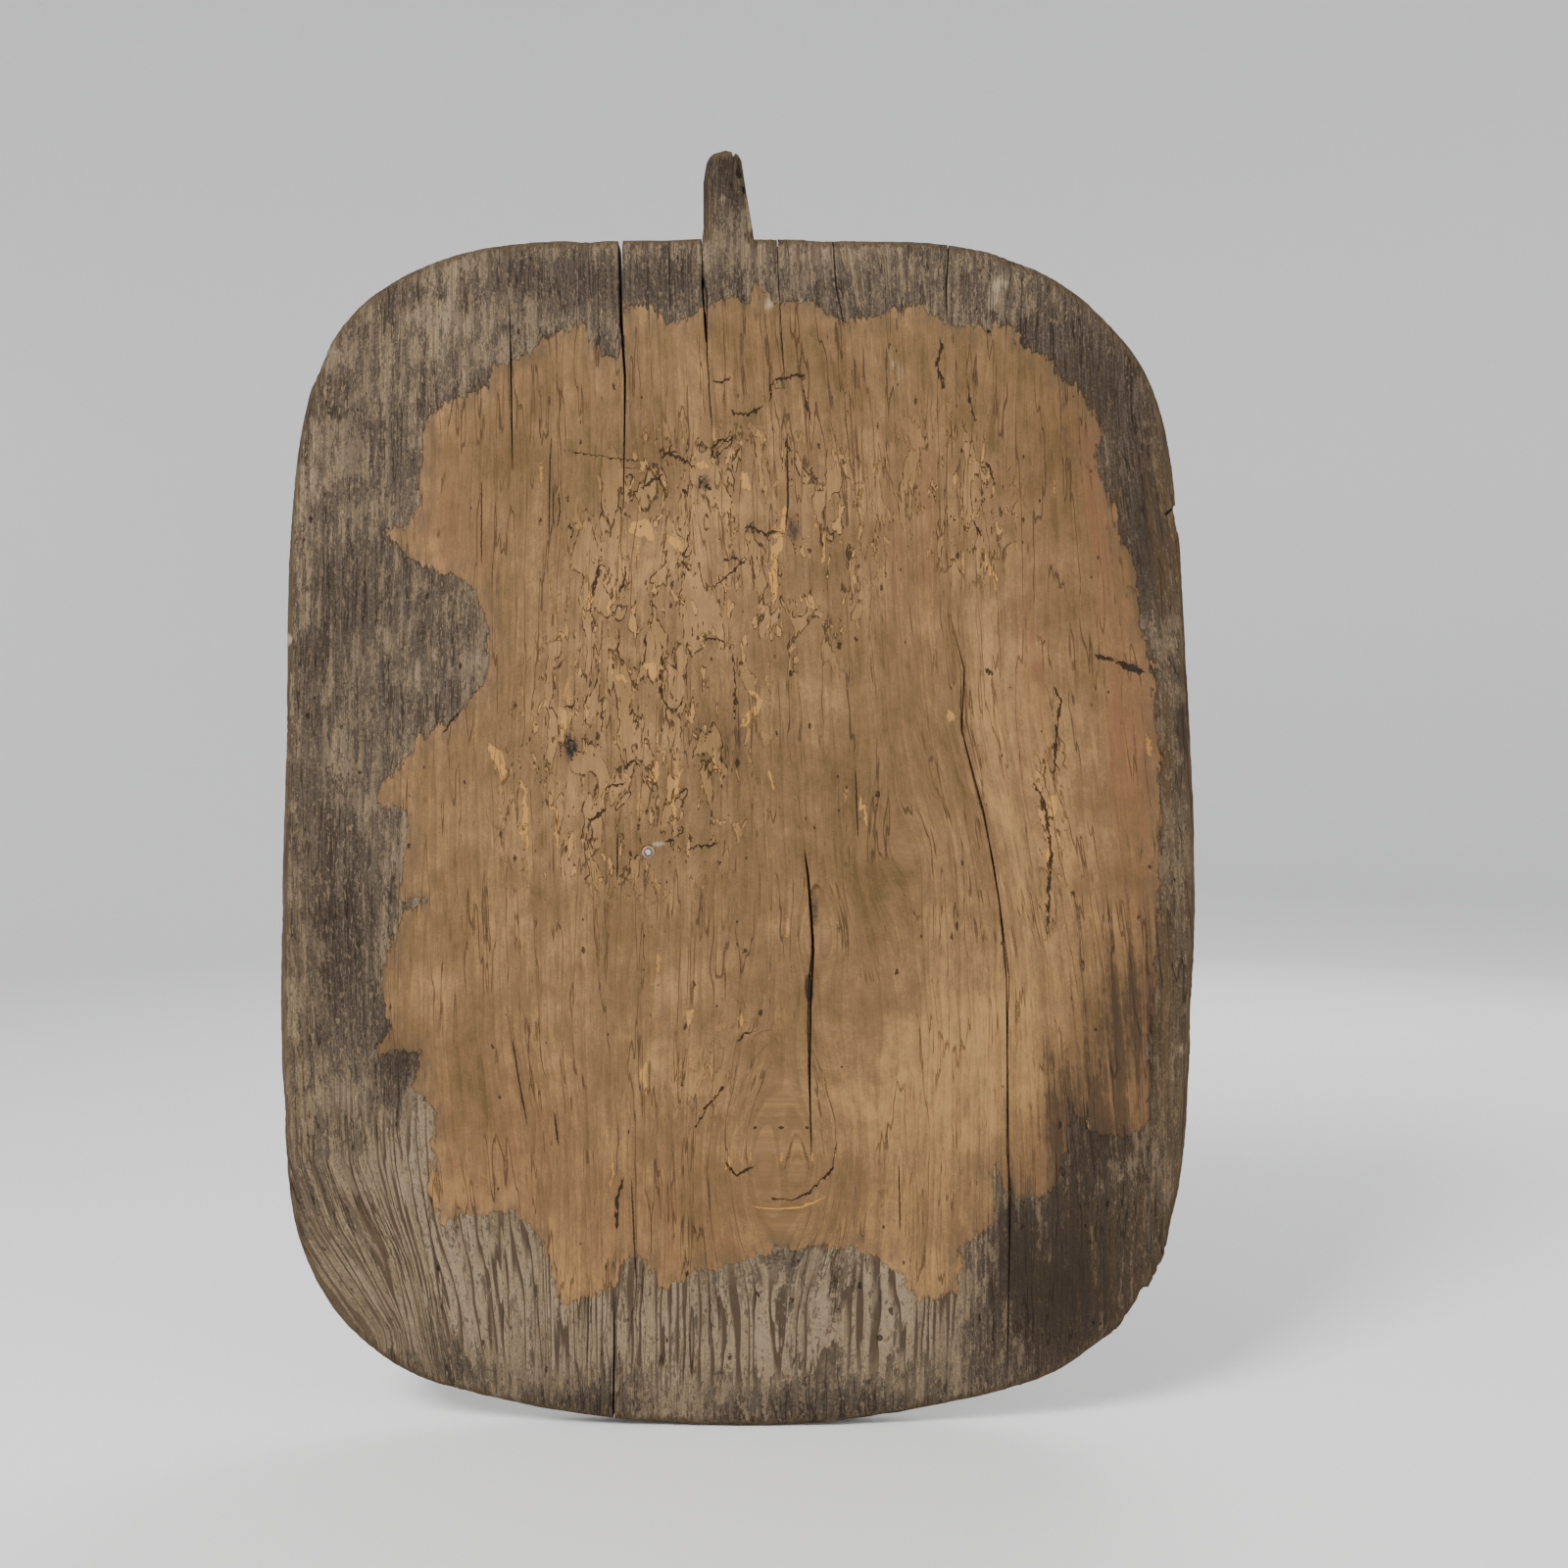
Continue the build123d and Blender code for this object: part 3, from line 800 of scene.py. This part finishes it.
    bump = bench.add("ShaderNodeBump")
    bump.inputs["Strength"].default_value = 1.0
    bump.inputs["Distance"].default_value = MM
    bench.feed(bump.inputs["Height"], height)
    surface = bench.add("ShaderNodeBsdfPrincipled")
    surface.inputs["Specular IOR Level"].default_value = 0.1
    bench.feed(surface.inputs["Base Color"], body)
    bench.feed(surface.inputs["Roughness"], bench.span(scraped, 0.0, 1.0, 0.86, 0.7, "LINEAR"))
    bench.feed(surface.inputs["Normal"], bump.outputs[0])
    output = bench.add("ShaderNodeOutputMaterial")
    bench.feed(output.inputs[0], surface.outputs[0])
    return material


# ------------------------------------------------------------------ board mesh


def lie_on(face, y):
    return all(abs(vert.co.y - y) < 0.01 * MM for vert in face.verts)


def cut_grid(bm, faces, step):
    """Cut these flat faces into squares so that they can be shaped."""
    geometry = list({v for f in faces for v in f.verts}) + list({e for f in faces for e in f.edges}) + faces
    for axis in (2, 0):
        low, high = BOARD_LOW[axis], BOARD_HIGH[axis]
        direction = Vector((axis == 0, 0, axis == 2))
        for count in range(1, int((high - low) / step) + 1):
            at = direction * (low + count * step)
            made = bmesh.ops.bisect_plane(bm, geom=geometry, dist=0.001 * MM, plane_co=at, plane_no=direction)
            geometry = made["geom"]


def bare_board(settings):
    """A joined copy of the board from the frame, with its two flat sides cut into a grid."""
    bm = bmesh.new()
    bm.from_mesh(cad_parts["board"].data)
    bmesh.ops.remove_doubles(bm, verts=bm.verts[:], dist=0.001 * MM)
    bmesh.ops.dissolve_limit(bm, angle_limit=math.radians(0.3), verts=bm.verts[:], edges=bm.edges[:])
    coarse = 1.0
    cut_grid(bm, [f for f in bm.faces if lie_on(f, BOARD_LOW.y)], settings.face_grid * coarse)
    cut_grid(bm, [f for f in bm.faces if lie_on(f, BOARD_HIGH.y)], settings.back_grid * coarse)
    sides = [f for f in bm.faces if not lie_on(f, BOARD_LOW.y) and not lie_on(f, BOARD_HIGH.y)]
    cut_grid(bm, sides, 2 * settings.face_grid * coarse)
    return bm


def signed_distance(places, outline):
    """Distance in mm from each (x, z) place to a closed outline, positive inside."""
    points = np.array(outline, float)
    nearest = np.full(len(places), 1e9)
    inside = np.zeros(len(places), bool)
    for start, end in zip(points, np.roll(points, -1, axis=0)):
        run = end - start
        share = np.clip(((places - start) @ run) / (run @ run), 0, 1)
        gap = places - (start + share[:, None] * run)
        nearest = np.minimum(nearest, np.hypot(gap[:, 0], gap[:, 1]))
        crosses = (start[1] > places[:, 1]) != (end[1] > places[:, 1])
        with np.errstate(divide="ignore", invalid="ignore"):
            at = start[0] + (places[:, 1] - start[1]) * run[0] / run[1]
        inside ^= crosses & (places[:, 0] < at)
    return np.where(inside, nearest, -nearest)


def nearest_stroke(places, strokes):
    """For each place: signed distance to the nearest stroke and the stroke's half width there, in mm."""
    side = np.full(len(places), 40.0)
    half = np.zeros(len(places))
    for width, course in strokes:
        points = np.array(course, float)
        lengths = np.hypot(*np.diff(points, axis=0).T)
        total = lengths.sum()
        done = 0.0
        for start, end, length in zip(points[:-1], points[1:], lengths):
            run = end - start
            share = np.clip(((places - start) @ run) / (length * length), 0, 1)
            gap = places - (start + share[:, None] * run)
            away = np.hypot(gap[:, 0], gap[:, 1])
            closer = away < np.abs(side)
            turn = np.sign(run[0] * gap[:, 1] - run[1] * gap[:, 0])
            along = (done + share * length) / total
            open_start = 1.0 if points[0, 1] > 840 else 0.0
            taper = np.minimum(np.maximum(along / 0.25, open_start), (1 - along) / 0.25).clip(0, 1)
            side = np.where(closer, np.where(turn == 0, 1, turn) * away, side)
            half = np.where(closer, width * np.sqrt(taper), half)
            done += length
    return side, np.where(np.abs(side) < 5.0 + half, half, 0.0)


def patches(places, table):
    """Sum of soft round patches at each place."""
    total = np.zeros(len(places))
    for x, z, across, along, strength in table:
        total += strength * np.exp(-(((places[:, 0] - x) / across) ** 2) - ((places[:, 1] - z) / along) ** 2)
    return total


def grain_place(places, depth):
    """Each point's place in a straight tree, in metres: across the rings, through the slab, up the trunk."""
    levels = np.linspace(0, 920, 93)  # one every 10 mm
    courses = []
    for line in GRAIN_LINES:
        upwards = line[::-1]
        courses.append(np.interp(levels, [z for _, z in upwards], [x for x, _ in upwards]))
    courses = np.array(courses)
    row = np.clip(places[:, 1] / 10.0, 0, 91.999)
    low = row.astype(int)
    part = row - low
    here = courses[:, low] * (1 - part) + courses[:, low + 1] * part
    names = np.array([line[0][0] for line in GRAIN_LINES], float)
    across = np.empty(len(places))
    for index in range(len(places)):
        across[index] = np.interp(places[index, 0], here[:, index], names)
    left, right = here[0], here[-1]
    across = np.where(places[:, 0] < left, names[0] + (places[:, 0] - left), across)
    across = np.where(places[:, 0] > right, names[-1] + (places[:, 0] - right), across)
    for x, z, radius, push in KNOTS:
        gap = places - (x, z)
        away = np.hypot(gap[:, 0], gap[:, 1] * 0.7) / radius
        across -= push * np.tanh(gap[:, 0] / radius * 2) * np.exp(-away * away)
    return np.column_stack([across * MM, depth * MM, places[:, 1] * MM])


def wander(co, scale, seed):
    return noise.noise(Vector(co) * scale + Vector((seed, seed * 1.7, seed * 0.6)))


def rim_closeness(co):
    """1 at the rim, falling to 0 where the rim band ends."""
    on_rim = np.abs(co[:, 1] - (BOARD_HIGH.y - BACK_ROUND)) < 0.2 * MM
    on_handle = (co[:, 2] > HANDLE_FOOT) & (np.abs(co[:, 1]) < 10.2 * MM)
    found = np.nonzero(on_rim | on_handle)[0]
    tree = kdtree.KDTree(len(found))
    for index in found:
        tree.insert((co[index, 0], 0.0, co[index, 2]), int(index))
    tree.balance()
    away = np.array([tree.find((x, 0.0, z))[2] for x, _, z in co])
    return np.clip(1 - away / RIM_BAND, 0, 1)


def shape_board(bm, settings, rim, layers):
    """Close the two checks beside the handle, wear and ripple the faces, nibble or fill out the rim."""
    bare, check_side = layers["bare"], layers["check_side"]
    for index, vert in enumerate(bm.verts):
        co = vert.co.copy()
        beside_handle = co.z > 0.70 and -0.04 < co.x < 0.06
        if beside_handle and abs(check_side[index]) < 1.3:
            vert.co.x -= check_side[index] * settings.closed * MM
        face = min(max((-co.y - 8 * MM) / (6 * MM), 0.0), 1.0)
        back = min(max((co.y - 10.5 * MM) / BACK_ROUND, 0.0), 1.0)
        ripple = 0.5 + 0.5 * wander((co.x * 1.6, 0, co.z * 0.8), 22.0, 3.0)
        small = 0.5 + 0.5 * wander((co.x * 2.2, 0, co.z * 0.5), 75.0, 8.0)
        dish = min(max(bare[index] / 55.0, 0.0), 1.0)
        sink = settings.hollow * dish * dish * (3 - 2 * dish)
        sink += settings.tool_marks * (0.7 * ripple + 0.3 * small)
        vert.co.y += face * sink
        vert.co.y -= back * settings.tool_marks * 1.6 * (0.5 + 0.5 * wander((co.x * 1.3, 5, co.z), 16.0, 5.0))
        if rim[index] > 0 and co.z < HANDLE_FOOT:
            nibble = 0.5 + 0.5 * wander(co, 28.0, 12.0) + 0.35 * wander(co, 110.0, 15.0)
            outwards = Vector((co.x, 0, co.z - 0.43)).normalized()
            vert.co -= outwards * settings.edge_loss * max(nibble, 0.0) * rim[index] ** 2
            vert.co.y += face * rim[index] ** 2 * 1.2 * MM * max(nibble, 0.0)
            for x, z, reach, depth in LOST_EDGES:
                gap = math.hypot(co.x / MM - x, co.z / MM - z) / reach
                if gap < 1:
                    share = math.sqrt(1 - gap) if depth > 0 else min(1.0, 2 - 2 * gap)
                    vert.co -= outwards * depth * MM * share * rim[index] ** 2


class DOUGHBOARD_OT_board(bpy.types.Operator):
    """Builds the weathered slab with its handle and replaces the plain one"""

    bl_idname = "doughboard.board"
    bl_label = "Build Board"

    def execute(self, context):
        settings = context.scene.doughboard_board
        bm = bare_board(settings)
        bm.verts.index_update()
        co = np.array([vert.co[:] for vert in bm.verts])
        places = co[:, [0, 2]] / MM
        bare = signed_distance(places, SCRAPED_OUTLINE)
        on_back = co[:, 1] > 9 * MM
        back_noise = np.array([wander((x * 2.4, 3, z * 0.8), 9.0, 31.0) for x, _, z in co])
        rim = rim_closeness(co)
        layers = {
            "bare": np.where(on_back, back_noise * 40 - 24, bare),
            "tone": np.where(on_back, back_noise * 0.9, patches(places, TONE_PATCHES)),
            "red": patches(places, RED_PATCHES),
            "worm": np.where(on_back, 0.0, patches(places, WORM_PATCHES)),
            "dark_and_shade": np.where(on_back, 0.0, patches(places, DARK_AND_SHADE_PATCHES)),
            "stain": np.where(on_back, 0.0, patches(places, STAIN_PATCHES)),
            "pale": np.where(on_back, 0.0, patches(places, PALE_PATCHES)),
            "rim": rim,
        }
        for name, strokes in (("check", CHECKS), ("scar", SCARS), ("chip", CHIPS)):
            side, half = nearest_stroke(places, strokes)
            layers[name + "_side"] = side
            layers[name + "_half"] = np.where(on_back & (name != "check"), 0.0, half)
        grain = grain_place(places, co[:, 1] / MM)
        shape_board(bm, settings, rim, layers)

        mesh = bpy.data.meshes.new("dough_board")
        bm.to_mesh(mesh)
        bm.free()
        for name, values in layers.items():
            mesh.attributes.new(name, "FLOAT", "POINT").data.foreach_set("value", values.astype(np.float32))
        mesh.attributes.new("grain", "FLOAT_VECTOR", "POINT").data.foreach_set(
            "vector", grain.astype(np.float32).ravel()
        )
        mesh.shade_smooth()
        mesh.set_sharp_from_angle(angle=math.radians(38))
        board = bpy.data.objects.new("dough_board", mesh)
        context.scene.collection.objects.link(board)
        board.data.materials.append(wood_material(build_groups(), settings))
        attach(board, "root")
        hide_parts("board")
        return {"FINISHED"}


# ------------------------------------------------------------------ nails


def iron_material(name, settings, brightness):
    """Hand-made iron: rubbed bright in the middle of the head, darker round it, pale at its edge."""
    material = bpy.data.materials.new(name)
    material.use_nodes = True
    tree = material.node_tree
    tree.nodes.clear()
    bench = Bench(tree)
    place = bench.add("ShaderNodeTexCoord").outputs["Object"]
    pits = bench.noise(place, 900.0, 4.0, 0.65)
    swing = bench.sum("SUBTRACT", pits, 0.5)
    reach = bench.sum("MULTIPLY_ADD", swing, 0.7, bench.value_of("reach"))
    worn = bench.times(bench.span(reach, 0.3, 0.5, 1.0, 0.0), brightness)
    edge = bench.times(bench.span(reach, 0.6, 0.85), brightness)
    tint = bench.blend(edge, colour(settings.rust), colour(settings.dusty))
    tint = bench.blend(worn, tint, colour(settings.bright))
    bump = bench.add("ShaderNodeBump")
    bump.inputs["Strength"].default_value = 0.7
    bump.inputs["Distance"].default_value = 0.25 * MM
    bench.feed(bump.inputs["Height"], pits)
    surface = bench.add("ShaderNodeBsdfPrincipled")
    bench.feed(surface.inputs["Base Color"], tint)
    bench.feed(surface.inputs["Metallic"], worn)
    bench.feed(surface.inputs["Roughness"], bench.span(worn, 0.0, 1.0, 0.85, 0.32, "LINEAR"))
    bench.feed(surface.inputs["Normal"], bump.outputs[0])
    output = bench.add("ShaderNodeOutputMaterial")
    bench.feed(output.inputs[0], surface.outputs[0])
    return material


def nail_piece(node, settings):
    """A hammered nail spun round its own axis, in the hole the frame gives it."""
    low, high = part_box(node)
    centre = (low + high) / 2
    radius = (high.x - low.x) / 2
    length = high.y - low.y
    dome = settings.crown if radius > 4 * MM else 0.3 * MM
    shank = 0.42 * radius if radius > 4 * MM else 0.82 * radius
    head = 1.6 * MM
    profile = [
        (0.0, 0.0), (0.35 * radius, 0.04 * dome), (0.7 * radius, 0.35 * dome), (0.97 * radius, dome),
        (radius, 0.75 * head), (0.94 * radius, head), (shank, head), (0.36 * shank, length), (0.0, length),
    ]
    bm = bmesh.new()
    verts = [bm.verts.new((centre.x + r, low.y + d, centre.z)) for r, d in profile]
    edges = [bm.edges.new(pair) for pair in zip(verts, verts[1:])]
    bmesh.ops.spin(
        bm, geom=verts + edges, cent=(centre.x, 0, centre.z), axis=(0, 1, 0), angle=math.tau, steps=28,
        use_merge=True,
    )
    bmesh.ops.remove_doubles(bm, verts=bm.verts[:], dist=0.01 * MM)
    for vert in bm.verts:
        if vert.co.y < low.y + head * 1.1:
            knock = wander(vert.co, 420.0, 2.0)
            vert.co.y += 0.18 * MM * (0.5 + knock)
            away = Vector((vert.co.x - centre.x, 0, vert.co.z - centre.z))
            vert.co -= away * 0.10 * max(0.0, wander(vert.co, 260.0, 6.0))
    bmesh.ops.recalc_face_normals(bm, faces=bm.faces[:])
    mesh = bpy.data.meshes.new(node + "_forged")
    bm.to_mesh(mesh)
    bm.free()
    reach = [math.hypot(v.co.x - centre.x, v.co.z - centre.z) / radius for v in mesh.vertices]
    mesh.attributes.new("reach", "FLOAT", "POINT").data.foreach_set("value", reach)
    mesh.shade_smooth()
    mesh.set_sharp_from_angle(angle=math.radians(50))
    return bpy.data.objects.new(node + "_forged", mesh)


class DOUGHBOARD_OT_nails(bpy.types.Operator):
    """Builds the old iron nails in their holes"""

    bl_idname = "doughboard.nails"
    bl_label = "Build Nails"

    def execute(self, context):
        settings = context.scene.doughboard_iron
        finishes = {
            "polished_iron": iron_material("polished_iron", settings, 1.0),
            "rusted_iron": iron_material("rusted_iron", settings, 0.0),
        }
        for node, finish in NAIL_NODES.items():
            nail = nail_piece(node, settings)
            context.scene.collection.objects.link(nail)
            nail.data.materials.append(finishes[finish])
            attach(nail, "root")
            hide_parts(node)
        return {"FINISHED"}


# ------------------------------------------------------------------ stage


def studio_floor(settings):
    """One round pale sheet: flat floor, a cove, and a wall all round."""
    bm = bmesh.new()
    flat, cove = settings.floor_radius, settings.cove_radius
    profile = [(0.0, 0.0), (flat * 0.5, 0.0), (flat, 0.0)]
    for count in range(1, 13):
        turn = math.radians(90) * count / 12
        profile.append((flat + cove * math.sin(turn), cove * (1 - math.cos(turn))))
    profile.append((flat + cove, cove + 2.6))
    verts = [bm.verts.new((radius, 0, height)) for radius, height in profile]
    edges = [bm.edges.new(pair) for pair in zip(verts, verts[1:])]
    bmesh.ops.spin(
        bm, geom=verts + edges, cent=(0, 0, 0), axis=(0, 0, 1), angle=math.tau, steps=96, use_merge=True
    )
    bmesh.ops.remove_doubles(bm, verts=bm.verts[:], dist=MM)
    bmesh.ops.recalc_face_normals(bm, faces=bm.faces[:])
    bmesh.ops.reverse_faces(bm, faces=bm.faces[:])
    mesh = bpy.data.meshes.new("studio_floor")
    bm.to_mesh(mesh)
    bm.free()
    mesh.shade_smooth()
    floor = bpy.data.objects.new("studio_floor", mesh)
    material = bpy.data.materials.new("studio_floor")
    material.use_nodes = True
    surface = material.node_tree.nodes["Principled BSDF"]
    surface.inputs["Base Color"].default_value = colour(settings.floor_colour)
    surface.inputs["Roughness"].default_value = 0.8
    floor.data.materials.append(material)
    return floor


def soft_light(name, power, size, place, target):
    light = bpy.data.lights.new(name, "AREA")
    light.shape = "RECTANGLE"
    light.size, light.size_y = size
    light.energy = power
    lamp = bpy.data.objects.new(name, light)
    lamp.location = place
    lamp.rotation_euler = (Vector(target) - Vector(place)).to_track_quat("-Z", "Y").to_euler()
    return lamp


class DOUGHBOARD_OT_stage(bpy.types.Operator):
    """Sets the floor, the soft lights and the camera"""

    bl_idname = "doughboard.stage"
    bl_label = "Set Stage"

    def execute(self, context):
        settings = context.scene.doughboard_stage
        scene = context.scene
        floor = studio_floor(settings)
        middle = (0, 0, 0.45)
        things = [
            floor,
            soft_light("key_light", settings.key_power, (1.0, 1.0), (-1.5, -2.1, 2.5), middle),
            soft_light("fill_light", settings.fill_power, (2.2, 1.6), (2.3, -1.6, 1.2), middle),
            soft_light("back_light", settings.back_power, (2.0, 1.8), (1.2, 2.3, 2.1), middle),
        ]
        for thing in things:
            scene.collection.objects.link(thing)
        world = bpy.data.worlds.new("pale_room")
        world.use_nodes = True
        background = world.node_tree.nodes["Background"]
        background.inputs[0].default_value = (0.92, 0.95, 1.0, 1.0)
        background.inputs[1].default_value = settings.sky
        scene.world = world
        lens = bpy.data.cameras.new("camera")
        lens.sensor_width = 36
        lens.lens = 36
        camera = bpy.data.objects.new("camera", lens)
        lens_y = BOARD_LOW.y - settings.camera_distance
        camera.location = (settings.camera_side, lens_y, settings.camera_height)
        camera.rotation_euler = (math.radians(90), 0, 0)
        scene.collection.objects.link(camera)
        scene.camera = camera
        return {"FINISHED"}


# ------------------------------------------------------------------ panel and start


class DOUGHBOARD_PT_panel(bpy.types.Panel):
    """Sizes and colours of the dough board"""

    bl_idname = "DOUGHBOARD_PT_panel"
    bl_label = "Dough Board"
    bl_space_type = "VIEW_3D"
    bl_region_type = "UI"
    bl_category = "Dough Board"

    def draw(self, context):
        for group, operator in (
            ("doughboard_board", "doughboard.board"),
            ("doughboard_iron", "doughboard.nails"),
            ("doughboard_stage", "doughboard.stage"),
        ):
            box = self.layout.box()
            settings = getattr(context.scene, group)
            for name in settings.bl_rna.properties.keys():
                if name not in ("rna_type", "name"):
                    box.prop(settings, name)
            box.operator(operator)


CLASSES = (
    BoardSettings, IronSettings, StageSettings,
    DOUGHBOARD_OT_board, DOUGHBOARD_OT_nails, DOUGHBOARD_OT_stage, DOUGHBOARD_PT_panel,
)


def register():
    for item in CLASSES:
        bpy.utils.register_class(item)
    bpy.types.Scene.doughboard_board = bpy.props.PointerProperty(type=BoardSettings)
    bpy.types.Scene.doughboard_iron = bpy.props.PointerProperty(type=IronSettings)
    bpy.types.Scene.doughboard_stage = bpy.props.PointerProperty(type=StageSettings)


def unregister():
    del bpy.types.Scene.doughboard_stage
    del bpy.types.Scene.doughboard_iron
    del bpy.types.Scene.doughboard_board
    for item in reversed(CLASSES):
        bpy.utils.unregister_class(item)


def main():
    register()
    bpy.ops.doughboard.board()
    bpy.ops.doughboard.nails()
    bpy.ops.doughboard.stage()


if __name__ == "__main__":
    main()
